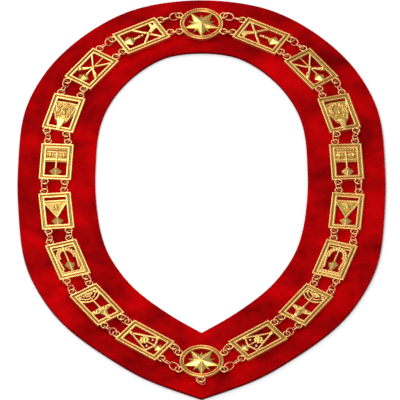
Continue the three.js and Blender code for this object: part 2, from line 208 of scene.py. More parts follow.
grain, start, end = new_group(
    "fine_grain",
    [("Position", "NodeSocketVector", None), ("Scale", "NodeSocketFloat", 1000.0),
     ("Depth", "NodeSocketFloat", 0.1)],
    [("Normal", "NodeSocketVector")],
)
speckle = noise_texture(grain, 1.0, GRAIN_DETAIL)
tip = grain.nodes.new("ShaderNodeBump")
tip.inputs["Distance"].default_value = GRAIN_DISTANCE
connect(grain, [
    (start, "Position", speckle, "Vector"),
    (start, "Scale", speckle, "Scale"),
    (start, "Depth", tip, "Strength"),
    (speckle, "Fac", tip, "Height"),
    (tip, "Normal", end, "Normal"),
])

# The rims lie above the panels and below the peaks of the stars: heights above the table, in metres
RIMS_BEGIN, RIMS_FULL, RIMS_FADE, RIMS_END = 0.0058, 0.0063, 0.0069, 0.0074
# The upward part of the normal where a side starts to show, and where it is all side
SIDE_BEGINS, SIDE_FULL = 0.85, 0.35
CLOUD_SCALE, CLOUD_DETAIL, CLOUD_SHARE = 90, 4, 0.7
GROOVE_ROUGHNESS, RIM_ROUGHNESS = 0.45, 0.27

patina_and_reflection, start, end = new_group(
    "gilt_patina_and_reflection",
    [("Position", "NodeSocketVector", None), ("Facing", "NodeSocketVector", None),
     ("Low", "NodeSocketFloat", None), ("High", "NodeSocketFloat", None),
     ("Deep Color", "NodeSocketColor", None), ("Bright Color", "NodeSocketColor", None),
     ("Side Reflection Color", "NodeSocketColor", None), ("Rim Reflection Color", "NodeSocketColor", None)],
    [("Color", "NodeSocketColor"), ("Roughness", "NodeSocketFloat")],
)
height = patina_and_reflection.nodes.new("ShaderNodeSeparateXYZ")
raised = smooth_step(patina_and_reflection)
cloudy = noise_texture(patina_and_reflection, CLOUD_SCALE, CLOUD_DETAIL)
rubbed = arithmetic(patina_and_reflection, "MULTIPLY_ADD")
rubbed.inputs[1].default_value = CLOUD_SHARE
rubbed.inputs[2].default_value = -CLOUD_SHARE / 2
worn = arithmetic(patina_and_reflection, "ADD")
worn.use_clamp = True
tone = colour_mix(patina_and_reflection)
dull = patina_and_reflection.nodes.new("ShaderNodeMapRange")
dull.inputs["To Min"].default_value = GROOVE_ROUGHNESS
dull.inputs["To Max"].default_value = RIM_ROUGHNESS
# The rims are painted rosier and the steep sides rosier still: a painted reflection of the red velvet.
above_panels = smooth_step(patina_and_reflection, RIMS_BEGIN, RIMS_FULL)
below_stars = smooth_step(patina_and_reflection, RIMS_END, RIMS_FADE)
on_rims = arithmetic(patina_and_reflection, "MULTIPLY")
rim_reflection = colour_mix(patina_and_reflection)
upward = patina_and_reflection.nodes.new("ShaderNodeSeparateXYZ")
steep = smooth_step(patina_and_reflection, SIDE_BEGINS, SIDE_FULL)
side_reflection = colour_mix(patina_and_reflection)
connect(patina_and_reflection, [
    (start, "Position", height, "Vector"),
    (height, "Z", raised, "Value"),
    (start, "Low", raised, "From Min"),
    (start, "High", raised, "From Max"),
    (start, "Position", cloudy, "Vector"),
    (cloudy, "Fac", rubbed, 0),
    (raised, "Result", worn, 0),
    (rubbed, "Value", worn, 1),
    (worn, "Value", tone, "Factor"),
    (start, "Deep Color", tone, MIX_FIRST),
    (start, "Bright Color", tone, MIX_SECOND),
    (height, "Z", above_panels, "Value"),
    (height, "Z", below_stars, "Value"),
    (above_panels, "Result", on_rims, 0),
    (below_stars, "Result", on_rims, 1),
    (on_rims, "Value", rim_reflection, "Factor"),
    (tone, MIX_RESULT, rim_reflection, MIX_FIRST),
    (start, "Rim Reflection Color", rim_reflection, MIX_SECOND),
    (start, "Facing", upward, "Vector"),
    (upward, "Z", steep, "Value"),
    (steep, "Result", side_reflection, "Factor"),
    (rim_reflection, MIX_RESULT, side_reflection, MIX_FIRST),
    (start, "Side Reflection Color", side_reflection, MIX_SECOND),
    (side_reflection, MIX_RESULT, end, "Color"),
    (worn, "Value", dull, "Value"),
    (dull, "Result", end, "Roughness"),
])
print("node groups:", [group.name for group in bpy.data.node_groups])

# %% [markdown]
# ## Gilt
# The plates and medallions are cast and gold plated; the jump rings are drawn wire with the same plating.
# Both are a Principled metal. The patina and the painted reflection on the rims read the height above the
# table, because every casting lies at the same height: its grooves are low and its rims are high.

# %% Gilt materials
def gilt(name, deep, bright, rim, side, low, high, grain_depth):
    material = bpy.data.materials.new(name)
    material.use_nodes = True
    tree = material.node_tree
    shader = tree.nodes["Principled BSDF"]
    shader.inputs["Metallic"].default_value = 1.0
    shader.inputs["Coat Weight"].default_value = 0.5
    shader.inputs["Coat Roughness"].default_value = 0.2
    where = tree.nodes.new("ShaderNodeTexCoord")
    skin = tree.nodes.new("ShaderNodeGroup")
    skin.node_tree = grain
    skin.inputs["Scale"].default_value = 700
    skin.inputs["Depth"].default_value = grain_depth
    patina_and_reflection_node = tree.nodes.new("ShaderNodeGroup")
    patina_and_reflection_node.node_tree = patina_and_reflection
    patina_and_reflection_node.inputs["Low"].default_value = low
    patina_and_reflection_node.inputs["High"].default_value = high
    patina_and_reflection_node.inputs["Deep Color"].default_value = (*deep, 1)
    patina_and_reflection_node.inputs["Bright Color"].default_value = (*bright, 1)
    patina_and_reflection_node.inputs["Side Reflection Color"].default_value = (*side, 1)
    patina_and_reflection_node.inputs["Rim Reflection Color"].default_value = (*rim, 1)
    connect(tree, [
        (where, "Normal", patina_and_reflection_node, "Facing"),
        (where, "Object", skin, "Position"),
        (where, "Object", patina_and_reflection_node, "Position"),
        (patina_and_reflection_node, "Color", shader, "Base Color"),
        (patina_and_reflection_node, "Roughness", shader, "Roughness"),
        (skin, "Normal", shader, "Normal"),
    ])
    return material


gilt_casting = gilt(
    "gilt_casting",
    deep=(0.28, 0.18, 0.008),
    bright=(0.77, 0.55, 0.09),
    # rim and side colours are a painted reflection of the red velvet
    rim=(0.79, 0.46, 0.14),
    side=(0.82, 0.33, 0.12),
    low=0.0050,
    high=0.0064,
    grain_depth=0.03,
)
# The wire's gold is tinted pink all over, rims and sides most: a painted reflection of the red velvet.
gilt_wire = gilt(
    "gilt_wire",
    deep=(0.7, 0.25, 0.09),
    bright=(0.88, 0.45, 0.23),
    rim=(0.88, 0.46, 0.26),
    side=(0.86, 0.31, 0.17),
    low=0.0030,
    high=0.0056,
    grain_depth=0.02,
)

# %% [markdown]
# ## Velvet
# The pile of velvet catches light at its edges, which sheen does, and shows where a hand has brushed it:
# broad soft strokes, lighter and darker, with finer mottling inside them. Both are noise on the piece's
# own coordinates. A few round spots are painted brighter, a painted sheen where brushed pile catches the
# light. Where the edge rolls over, the colour is painted darker: painted shade for pile that turns away
# from the light.

# %% Velvet material
velvet = bpy.data.materials.new("velvet")
velvet.use_nodes = True
tree = velvet.node_tree
shader = tree.nodes["Principled BSDF"]
shader.inputs["Roughness"].default_value = 0.85
shader.inputs["Specular IOR Level"].default_value = 0.02
shader.inputs["Sheen Weight"].default_value = 0.2
shader.inputs["Sheen Roughness"].default_value = 0.45
shader.inputs["Sheen Tint"].default_value = (1.0, 0.01, 0.008, 1)
where = tree.nodes.new("ShaderNodeTexCoord")
strokes = noise_texture(tree, 20, 3, 0.5)
mottle = noise_texture(tree, 85, 5, 0.5)
MOTTLE_SHARE = 0.4
nap = arithmetic(tree, "MULTIPLY_ADD")
nap.inputs[1].default_value = MOTTLE_SHARE
connect(tree, [
    (where, "Object", strokes, "Vector"),
    (where, "Object", mottle, "Vector"),
    (mottle, "Fac", nap, 0),
    (strokes, "Fac", nap, 2),
])

# Spots painted brighter, a painted sheen where brushed-up pile catches the light: aside, along and radius,
# in metres
BRUSHED_SHEEN_SPOTS = [
    (0.001, -0.248, 0.030), (0.143, 0.160, 0.028), (-0.147, -0.056, 0.024), (-0.07, 0.212, 0.022),
]
SHEEN_LIFT = 0.13
nap_and_sheen = nap
for aside, along, radius in BRUSHED_SHEEN_SPOTS:
    reach = tree.nodes.new("ShaderNodeVectorMath")
    reach.operation = "DISTANCE"
    reach.inputs[1].default_value = (aside, along, 0)
    spot = smooth_step(tree, 0.0, radius)
    spot.inputs["To Min"].default_value = SHEEN_LIFT
    spot.inputs["To Max"].default_value = 0.0
    sheen_lifted = arithmetic(tree, "ADD")
    connect(tree, [
        (where, "Object", reach, 0),
        (reach, "Value", spot, "Value"),
        (spot, "Result", sheen_lifted, 0),
        (nap_and_sheen, "Value", sheen_lifted, 1),
    ])
    nap_and_sheen = sheen_lifted

# The rolled colour is painted shade on the rolled edge; the darkest and brightest reds span the nap's own
# tone.
DARKEST_RED, BRIGHTEST_RED, ROLLED_SHADE_RED = (0.15, 0.0, 0.0005, 1), (0.53, 0.0, 0.0012, 1), (0.1, 0.0, 0.003, 1)
ROLL_BEGINS, ROLL_ENDS = 0.0016, 0.0028
tint = tree.nodes.new("ShaderNodeValToRGB")
darkest, brightest = tint.color_ramp.elements
darkest.position = 0.48
darkest.color = DARKEST_RED
brightest.position = 0.94
brightest.color = BRIGHTEST_RED
level = tree.nodes.new("ShaderNodeSeparateXYZ")
rolled = smooth_step(tree, ROLL_BEGINS, ROLL_ENDS)
shaded = colour_mix(tree)
shaded.inputs[MIX_FIRST].default_value = ROLLED_SHADE_RED
pile = tree.nodes.new("ShaderNodeGroup")
pile.node_tree = grain
pile.inputs["Scale"].default_value = 1500
pile.inputs["Depth"].default_value = 0.4
connect(tree, [
    (nap_and_sheen, "Value", tint, "Fac"),
    (where, "Object", level, "Vector"),
    (level, "Z", rolled, "Value"),
    (rolled, "Result", shaded, "Factor"),
    (tint, "Color", shaded, MIX_SECOND),
    (shaded, MIX_RESULT, shader, "Base Color"),
    (where, "Object", pile, "Position"),
    (pile, "Normal", shader, "Normal"),
])

# %% [markdown]
# ## The velvet collar
# The CAD node holds the collar's outline as two loops of straight edges. The piece takes those loops,
# bridges them into a flat strip and lets subdivision round the outline, with a crease where the heart
# comes to its point. Solidify then gives the cloth and its lining their thickness, a bevel rolls the
# edges, and a low noise keeps the face from lying dead flat.

# %% Read the outline of the collar
SAME_PLACE = 1e-6
SAME_LEVEL = 1e-5


def select_none():
    if bpy.context.mode != "OBJECT":
        bpy.ops.object.mode_set(mode="OBJECT")
    bpy.ops.object.select_all(action="DESELECT")


def make_active(piece):
    select_none()
    piece.select_set(True)
    bpy.context.view_layer.objects.active = piece


def apply_modifier(piece, kind, **settings):
    make_active(piece)
    bpy.ops.object.modifier_add(type=kind)
    modifier = piece.modifiers[-1]
    for key, value in settings.items():
        setattr(modifier, key, value)
    bpy.ops.object.modifier_apply(modifier=modifier.name)


def edge_loops(node, height):
    """The loops of a node's edges that run at one height, each a list of points in order."""
    whole = bmesh.new()
    whole.from_mesh(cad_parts[node].data)
    bmesh.ops.remove_doubles(whole, verts=whole.verts, dist=SAME_PLACE)
    level = {v for v in whole.verts if abs(v.co.z - height) < SAME_LEVEL}
    loops = []
    while level:
        corner = level.pop()
        loop = [corner.co.copy()]
        while True:
            beyond = [e.other_vert(corner) for e in corner.link_edges if e.other_vert(corner) in level]
            if not beyond:
                break
            corner = beyond[0]
            level.discard(corner)
            loop.append(corner.co.copy())
        loops.append(loop)
    whole.free()
    return sorted(loops, key=lambda loop: max(p.y for p in loop))


collar_low, collar_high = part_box("velvet_collar")
cloth_thickness = collar_high.z - collar_low.z
inner_loop, outer_loop = edge_loops("velvet_collar", collar_low.z + cloth_thickness / 2)
print("the outline has", len(inner_loop), "inner and", len(outer_loop), "outer corners")


# %% Make the collar
def from_point(loop):
    """The loop, started at its lowest corner and turned to run anticlockwise."""
    start = min(range(len(loop)), key=lambda i: loop[i].y)
    turned = loop[start:] + loop[:start]
    if turned[1].x < 0:
        turned = turned[:1] + turned[:0:-1]
    return turned


def smooth_through(loop, rounds=8):
    """Corners whose smoothed curve passes through the loop's points. The first corner is sharp."""
    pulled = [point.copy() for point in loop]
    total = len(loop)
    for _ in range(rounds):
        smoothed = [(pulled[i - 1] + 4 * pulled[i] + pulled[(i + 1) % total]) / 6 for i in range(total)]
        for i in range(1, total):
            pulled[i] += loop[i] - smoothed[i]
    return pulled


ACROSS = 3
ROUNDING_LEVELS = 4
EDGE_ROLL = 1.3 * MM
EDGE_ANGLE = math.radians(60)
inner_loop = smooth_through(from_point(inner_loop))
outer_loop = smooth_through(from_point(outer_loop))
count = len(inner_loop)
corners, faces = [], []
for inner, outer in zip(inner_loop, outer_loop):
    for row in range(ACROSS + 1):
        corners.append(inner.lerp(outer, row / ACROSS).to_2d().to_3d())
for station in range(count):
    following = (station + 1) % count
    for row in range(ACROSS):
        here, there = station * (ACROSS + 1) + row, following * (ACROSS + 1) + row
        faces.append((here, here + 1, there + 1, there))
strip = bpy.data.meshes.new("velvet_band")
strip.from_pydata(corners, [], faces)
band = bpy.data.objects.new("velvet_band", strip)
bpy.context.scene.collection.objects.link(band)
creases = strip.attributes.new("crease_vert", "FLOAT", "POINT")
for row in (0, ACROSS):
    creases.data[row].value = 1.0

apply_modifier(band, "SUBSURF", levels=ROUNDING_LEVELS, render_levels=ROUNDING_LEVELS)
apply_modifier(band, "SOLIDIFY", thickness=cloth_thickness, offset=1.0)
apply_modifier(band, "BEVEL", width=EDGE_ROLL, segments=4, limit_method="ANGLE", angle_limit=EDGE_ANGLE)
bottom = min(v.co.z for v in band.data.vertices)
for corner in band.data.vertices:
    corner.co.z -= bottom
print("the band has", len(band.data.polygons), "faces")

WAVE_HEIGHT = 0.22 * MM
WAVE_SIZE = 0.035
HIGHEST_WAVE = 0.1
UPPER_FACE = 0.9 * cloth_thickness
for corner in band.data.vertices:
    if corner.co.z > UPPER_FACE:
        lift = noise.noise(corner.co / WAVE_SIZE)
        corner.co.z += min(lift, HIGHEST_WAVE) * WAVE_HEIGHT
make_active(band)
bpy.ops.object.shade_smooth()
band.data.materials.append(velvet)
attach(band, "root")
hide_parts("velvet_collar")
collar_area = sum(face.area for face in band.data.polygons) / 2
print("the cloth covers", round(collar_area, 4), "square metres")

# %% [markdown]
# ## Tools for the castings
# The castings are worked out in millimetres, lying at the origin, and are only brought to size and
# place when they are done. A slab is the basic form: a flat outline, extruded, with its upper edges
# bevelled. Bars, rails and arcs are slabs with particular outlines. A bead is a flattened ball, and a
# kite star is a four-sided cone with its corners pulled out.

# %% Slabs and bars
ROUND_OVER = 0.35


def open_with_faces(piece, corners):
    """Edit a piece with only the faces of so many corners selected."""
    make_active(piece)
    bpy.ops.object.mode_set(mode="EDIT")
    bpy.ops.mesh.select_mode(type="FACE")
    bpy.ops.mesh.select_all(action="DESELECT")
    bpy.ops.object.mode_set(mode="OBJECT")
    for face in piece.data.polygons:
        face.select = len(face.vertices) == corners
    bpy.ops.object.mode_set(mode="EDIT")


def close_outwards():
    """Turn every normal of the edited mesh outwards and leave it."""
    bpy.ops.mesh.select_all(action="SELECT")
    bpy.ops.mesh.normals_make_consistent(inside=False)
    bpy.ops.object.mode_set(mode="OBJECT")


def slab(points, low, high, round_over=ROUND_OVER):
    bpy.ops.mesh.primitive_circle_add(vertices=len(points), radius=1, fill_type="NGON")
    piece = bpy.context.object
    for corner, point in zip(piece.data.vertices, points):
        corner.co = (point[0], point[1], low)
    bpy.ops.object.mode_set(mode="EDIT")
    bpy.ops.mesh.select_all(action="SELECT")
    bpy.ops.mesh.extrude_region_move(TRANSFORM_OT_translate={"value": (0, 0, high - low)})
    if round_over:
        bpy.ops.mesh.bevel(offset=round_over, segments=2, affect="EDGES")
    close_outwards()
    return piece


def bar(start, end, width, high, end_width=None, low=0.0, round_over=ROUND_OVER):
    first, last = Vector(start), Vector(end)
    along = (last - first).normalized()
    side = Vector((-along.y, along.x))
    half, far_half = width / 2, (end_width or width) / 2
    outline = [first - side * half, last - side * far_half, last + side * far_half, first + side * half]
    return slab(outline, low, high, round_over)


def rail(half_width, half_length, width, low, high):
    """Four bars round a rectangle, whose outer edge is given."""
    x, y, half = half_width - width / 2, half_length - width / 2, width / 2
    return [
        bar((-x, -y - half), (-x, y + half), width, high, low=low),
        bar((x, -y - half), (x, y + half), width, high, low=low),
        bar((-x - half, -y), (x + half, -y), width, high, low=low),
        bar((-x - half, y), (x + half, y), width, high, low=low),
    ]


def arc(centre, radius, width, start, end, high, steps=18):
    angles = [math.radians(start + (end - start) * step / steps) for step in range(steps + 1)]
    outside = [(math.cos(a) * (radius + width / 2), math.sin(a) * (radius + width / 2)) for a in angles]
    inside = [(math.cos(a) * (radius - width / 2), math.sin(a) * (radius - width / 2)) for a in angles]
    outline = [(centre[0] + x, centre[1] + y) for x, y in outside + inside[::-1]]
    return slab(outline, 0, high)


def bead(x, y, radius, top, flatness=0.75):
    bpy.ops.mesh.primitive_uv_sphere_add(
        segments=20, ring_count=12, radius=radius, location=(x, y, top - radius * flatness)
    )
    ball = bpy.context.object
    ball.scale.z = flatness
    bpy.ops.object.transform_apply(location=True, rotation=True, scale=True)
    return ball


PEAK_SHIFT = 0.1


def kite_star(x, y, half_width, above, below, edge, peak):
    """Four points round a peak, standing on walls as high as its edge."""
    bpy.ops.mesh.primitive_cone_add(vertices=4, radius1=1, radius2=0, depth=1)
    star = bpy.context.object
    rim = [v for v in star.data.vertices if v.co.z < 0]
    tip = next(v for v in star.data.vertices if v.co.z > 0)
    rim.sort(key=lambda v: (math.pi / 2 - math.atan2(v.co.y, v.co.x)) % (2 * math.pi))
    for corner, (right, up) in zip(rim, [(0, above), (half_width, 0), (0, -below), (-half_width, 0)]):
        corner.co = (x + right, y + up, edge)
    tip.co = (x, y + (above - below) * PEAK_SHIFT, peak)
    open_with_faces(star, len(rim))
    bpy.ops.mesh.extrude_region_move(TRANSFORM_OT_translate={"value": (0, 0, -edge)})
    close_outwards()
    return star


# %% [markdown]
# ## Fusing a casting
# A casting is one body of metal, with soft inner corners where the wax was joined. The parts of a design
# are joined and remeshed with small voxels, which melts them together just so. A light smoothing takes
# off the voxels' steps, and decimation keeps the faces where the form needs them.

# %% Fuse
VOXEL = 0.2
FACES_WANTED = 34000
SMOOTH_FACTOR, SMOOTH_ROUNDS = 0.5, 4
SHARP_ANGLE = math.radians(38)


def fuse(name, parts, wanted=FACES_WANTED):
    select_none()
    for part in parts:
        part.select_set(True)
    bpy.context.view_layer.objects.active = parts[0]
    bpy.ops.object.join()
    casting = bpy.context.object
    casting.name = name
    apply_modifier(casting, "REMESH", mode="VOXEL", voxel_size=VOXEL)
    apply_modifier(casting, "SMOOTH", factor=SMOOTH_FACTOR, iterations=SMOOTH_ROUNDS)
    triangles = 2 * len(casting.data.polygons)
    apply_modifier(casting, "DECIMATE", ratio=min(1, wanted / triangles))
    make_active(casting)
    bpy.ops.object.shade_smooth_by_angle(angle=SHARP_ANGLE)
    return casting


# %% [markdown]
# ## The plates
# Every plate has the same frame: a flat bar all round, with a raised rim at either edge and a groove
# between them, and four ears at its ends. What differs is the pierced design inside. There are eight
# designs, and each serves one plate on either side.

# %% Plate frame and ears
PLATE_WIDTH, PLATE_LENGTH = 30, 46
SIDE_BAR, END_BAR = 5.2, 5.4
BASE, RIM, INNER_RIM = 1.9, 3.35, 3.15
OUTER_RIM_WIDTH, INNER_RIM_WIDTH = 1.6, 1.9
WINDOW_X, WINDOW_Y = PLATE_WIDTH / 2 - SIDE_BAR, PLATE_LENGTH / 2 - END_BAR
EAR_RADIUS, EAR_WIRE, EAR_REACH, EAR_HEIGHT, EAR_INSET = 3.2, 0.75, 2.9, 2.6, 5.7
EAR_X, EAR_Y = PLATE_WIDTH / 2 - EAR_INSET, PLATE_LENGTH / 2 + EAR_REACH


def ear(x, y):
    bpy.ops.mesh.primitive_torus_add(
        location=(x, y, EAR_HEIGHT), major_radius=EAR_RADIUS, minor_radius=EAR_WIRE,
        major_segments=36, minor_segments=12,
    )
    bpy.ops.object.transform_apply(location=True, rotation=True, scale=True)
    return bpy.context.object


def plate_frame():
    parts = rail(PLATE_WIDTH / 2, PLATE_LENGTH / 2, SIDE_BAR, 0, BASE)
    parts += rail(PLATE_WIDTH / 2, PLATE_LENGTH / 2, OUTER_RIM_WIDTH, 0, RIM)
    parts += rail(WINDOW_X + INNER_RIM_WIDTH, WINDOW_Y + INNER_RIM_WIDTH, INNER_RIM_WIDTH, 0, INNER_RIM)
    parts += [ear(x, y) for x in (-EAR_X, EAR_X) for y in (-EAR_Y, EAR_Y)]
    return parts


# %% [markdown]
# ## Eight designs
# The designs are drawn in millimetres from the middle of the plate, with +Y towards the upper medallion.
# They are ornaments of the common ceremonial kind: crossed batons and torches, a crest, beads, a
# triangle, a wreath, sunk arcs and spread legs. Bars that end in the frame run on into it, so that the
# fusing joins them.

# %% Designs one to four
# How far a bar runs from the middle of a plate so that it ends inside the frame
SIDE, END, FOOT = 10.4, 18.5, -21.5


def oval_bead(middle_y, wide, tall, degrees, radius, top):
    """A bead on an oval round a point of the plate's centre line."""
    angle = math.radians(degrees)
    return bead(math.cos(angle) * wide, middle_y + math.sin(angle) * tall, radius, top)


def foot_star(y=-12.0, size=1.0):
    return kite_star(0, y, 6.0 * size, 6.2 * size, 8.6 * size, 2.3, 4.5)


def crossed_batons():
    return [
        bar((-5.5, END), (1.2, 7), 5.6, 3.0, 2.6),
        bar((0.5, 8.2), (SIDE, -2.2), 2.6, 3.6, 1.9),
        bar((-SIDE, -3.5), (SIDE, 16.6), 2.2, 3.0),
        bar((-SIDE, 14.6), (-3.6, 13.8), 3.0, 2.8),
        bead(0.8, 6.6, 2.1, 4.3),
        bar((-0.2, 2.0), (0.6, -8), 2.0, 3.0),
        bead(0, -2.2, 1.7, 3.9),
        foot_star(),
    ]


def crossed_torches():
    return [
        bar((-SIDE, 15.0), (3.4, -2.2), 1.7, 3.1),
        bar((SIDE, 16.4), (-3.4, -1.6), 1.7, 3.3),
        bar((-2.4, -0.6), (-10.2, -7.6), 2.2, 3.2, 4.8),
        bar((2.4, -0.8), (10.2, -7.2), 2.2, 3.2, 4.6),
        bead(-8.6, -6.4, 2.3, 4.3),
        bead(8.4, -6.2, 2.3, 4.3),
        bar((0, END), (0, 2.5), 1.2, 2.8),
        bead(0, 2.6, 1.9, 4.2),
        bar((0, 3), (0.4, -9), 1.7, 3.0),
        foot_star(-12.6, 0.92),
    ]


def crest():
    scroll = [arc((0, 5.2), radius, 0.9, -40, 220, 3.1) for radius in (7.6, 5.4)]
    leaves = [oval_bead(4.6, 6.4, 7.6, degrees, 1.25, 3.7) for degrees in range(-30, 211, 30)]
    return [
        slab([(-SIDE, 14.4), (-SIDE, 1.8), (-6.4, -9.2), (-3.0, -13), (3.0, -13), (6.4, -9.2),
              (SIDE, 1.8), (SIDE, 14.4), (4, 15.6), (-4, 15.6)], 0, 2.2),
        bar((-10.2, 13.2), (10.2, 13.2), 1.2, 3.0),
        bar((-9.9, 12.8), (-5.8, -8.8), 1.1, 3.0),
        bar((9.9, 12.8), (5.8, -8.8), 1.1, 3.0),
        *scroll,
        *leaves,
        kite_star(0, 5.6, 2.6, 3.4, 3.6, 2.4, 4.4),
        bead(0, 0.6, 2.0, 4.0),
        bead(-3.6, -3.0, 1.5, 3.6),
        bead(3.6, -3.0, 1.5, 3.6),
        bar((-6.2, -9.4), (6.2, -9.4), 1.4, 3.3),
        bar((0, -8), (0, FOOT), 7.6, 3.4, 3.2),
    ]


def bead_row():
    beads = [bead(-7.2 + 2.4 * n, 15.4, 1.0, 3.6) for n in range(7)]
    bulbs = [
        part
        for side in (-1, 1)
        for part in (
            bead(side * 6.4, 8.6, 2.5, 4.3),
            bead(side * 8.4, 8.6, 1.5, 3.8),
            bead(side * 3.6, 8.6, 1.4, 3.6),
        )
    ]
    return [
        slab([(-SIDE, 0.6), (SIDE, 0.6), (SIDE, 18.4), (-SIDE, 18.4)], 0, 2.1),
        *beads,
        bar((-9, 12.6), (9, 12.6), 1.3, 3.1),
        bar((-8.6, 8.6), (8.6, 8.6), 1.3, 3.2),
        *bulbs,
        bar((-SIDE, 2.6), (SIDE, 2.6), 2.0, 3.2),
        bar((0, 12.6), (0, -8), 1.6, 3.3),
        bead(0, -0.6, 1.5, 3.8),
        foot_star(),
    ]


# %% Designs five to eight
def inverted_triangle():
    return [
        slab([(-SIDE, 13.8), (-SIDE, 10.2), (0, -9), (SIDE, 10.2), (SIDE, 13.8)], 0, 2.2),
        bar((-SIDE, 12.8), (SIDE, 12.8), 1.8, 3.1),
        bar((-10.2, 10.6), (0.2, -8.6), 1.6, 3.3),
        bar((10.2, 10.6), (-0.2, -8.6), 1.6, 3.3),
        bar((-5.4, 9.2), (5.4, 9.2), 1.0, 2.9),
        bar((0, 9), (0, 1.6), 1.2, 3.0),
        bead(0, 5.4, 2.0, 3.9),
        bead(-1.9, 2.8, 1.0, 3.3),
        bead(1.9, 2.8, 1.0, 3.3),
        foot_star(-12.2, 0.95),
    ]


def wreath():
    leaves = [
        oval_bead(4.2, reach, reach + 1.4, -12 + 204 * step / 12, radius, 3.9)
        for step in range(13)
        for reach, radius in ((8.8, 1.5), (6.6, 1.25))
    ]
    stalks = [
        bead(side * (8.6 - 0.25 * n), 1.4 - 2.4 * n, 1.5, 3.7) for side in (-1, 1) for n in range(6)
    ]
    turf = [bead(-8.4 + 1.4 * n, -16.6 + 0.9 * (n % 2), 1.1, 3.6) for n in range(13)]
    return [
        arc((0, 4.6), 8.0, 3.4, -8, 188, 2.4),
        bar((-9.2, 5), (-8.6, -17), 3.4, 2.4, 2.6),
        bar((9.2, 5), (8.6, -17), 3.4, 2.4, 2.6),
        slab([(-SIDE, -14.6), (SIDE, -14.6), (SIDE, -18.4), (-SIDE, -18.4)], 0, 2.6),
        bar((-SIDE, 15.8), (SIDE, 15.8), 1.6, 2.6),
        *leaves,
        *stalks,
        *turf,
        bar((0, END), (0, -3), 1.5, 3.2),
        bead(0, 14.6, 1.9, 4.2),
        kite_star(0, -5.6, 5.0, 5.4, 10.4, 2.3, 4.6),
    ]


def sunk_arcs():
    crown = [bead(x, 15.8 - abs(x) * 0.25, 1.5, 4.0) for x in (-4.2, -2.1, 0, 2.1, 4.2)]
    return [
        arc((0, 18.4), 12.2, 1.7, 200, 340, 3.1),
        arc((0, 18.4), 8.8, 1.3, 190, 350, 2.9),
        arc((0, 18.4), 5.6, 1.3, 185, 355, 3.0),
        *crown,
        bar((-SIDE, 13.2), (-6.8, 16.8), 2.6, 2.8),
        bar((SIDE, 13.2), (6.8, 16.8), 2.6, 2.8),
        bar((0, 18), (0, -8), 1.5, 3.4),
        bead(0, -3.6, 1.4, 3.9),
        slab([(-SIDE, -5.4), (-4.4, -4.6), (4.4, -4.6), (SIDE, -5.4), (SIDE, -8.2), (5.0, -10.2),
              (-5.0, -10.2), (-SIDE, -8.2)], 0, 2.7),
        bead(-5.2, -7.2, 2.0, 3.9),
        bead(5.2, -7.2, 2.0, 3.9),
        bar((0, -5), (0, FOOT), 6.0, 3.2, 3.2),
        kite_star(0, -11.4, 3.8, 6.0, 8.6, 2.8, 4.6),
    ]


def spread_legs():
    petals = [oval_bead(0.6, 3.4, 3.2, degrees, 1.6, 4.0) for degrees in range(0, 360, 45)]
    return [
        bar((0.5, 17), (-10.2, -9.6), 1.9, 3.2),
        bar((-0.5, 17), (10.2, -9.6), 1.9, 3.2),
        bead(0, 15.8, 2.0, 4.2),
        bar((0, END), (0, 14), 1.8, 3.6),
        *petals,
        bead(0, 0.6, 2.6, 4.8),
        bar((-SIDE, -7.4), (0, -11.4), 2.0, 3.2),
        bar((SIDE, -7.4), (0, -11.4), 2.0, 3.2),
        bar((0, -2), (0, -12), 1.6, 3.2),
        bead(-4.6, -5.4, 1.5, 3.6),
        bead(4.6, -5.4, 1.5, 3.6),
        kite_star(0, -14.6, 4.8, 4.6, 6.4, 2.3, 4.4),
    ]


DESIGNS = [
    crossed_batons, crossed_torches, crest, bead_row, inverted_triangle, wreath, sunk_arcs, spread_legs,
]

# %% [markdown]
# ## Where a plate goes
# A plate's place is its node's place. The middle of the node's box is the middle of the plate, and its
# turn is that of the plate's longest edge, which is 46 mm of straight rim. Each copy gets its own mesh,
# scaled from millimetres to metres, turned and moved, all of it in the mesh.

# %% Cast the plates
def plate_turn(node):
    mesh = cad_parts[node].data
    best = Vector((0, 0))
    for edge in mesh.edges:
        first, second = (mesh.vertices[i].co.to_2d() for i in edge.vertices)
        if (second - first).length > best.length:
            best = second - first
    if best.y < 0:
        best = -best
    return math.atan2(best.y, best.x) - math.pi / 2


def settle(casting, name, place, turn, node, material):
    piece = casting.copy()
    piece.data = casting.data.copy()
    piece.name = name
    bpy.context.scene.collection.objects.link(piece)
    piece.data.transform(
        Matrix.Translation(place) @ Matrix.Rotation(turn, 4, "Z") @ Matrix.Scale(MM, 4)
    )
    piece.data.materials.clear()
    piece.data.materials.append(material)
    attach(piece, "root")
    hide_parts(node)


def discard(casting):
    bpy.data.objects.remove(casting)


plates = {}
for number, design in enumerate(DESIGNS, 1):
    casting = fuse(f"casting_{number}", plate_frame() + design())
    for side in ("left", "right"):
        node = f"plate_{side}_{number}"
        low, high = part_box(node)
        middle = (low + high) / 2
        place = Vector((middle.x, middle.y, low.z))
        turn = plate_turn(node)
        plates[side, number] = (place, turn)
        settle(casting, f"{node}_casting", place, turn, node, gilt_casting)
    print(design.__name__, len(casting.data.polygons), "triangles")
    discard(casting)

# %% [markdown]
# ## The medallions
# A medallion is a round band with two rims, spun from its section like a turned moulding, and a star of
# five points over five short rays. A ten-sided cone makes a star: pull every second corner of its foot
# inwards, and the ridges and valleys come by themselves.

# %% Spin the band and cut the star
MEDALLION_RADIUS, MEDALLION_BAND = 20.3, 4.4
MEDALLION_EAR_ANGLE, MEDALLION_EAR_REACH = 27, MEDALLION_RADIUS + EAR_REACH
MEDALLION_FACES = 30000
TURNING_STEPS = 96
SEAM = 1e-4


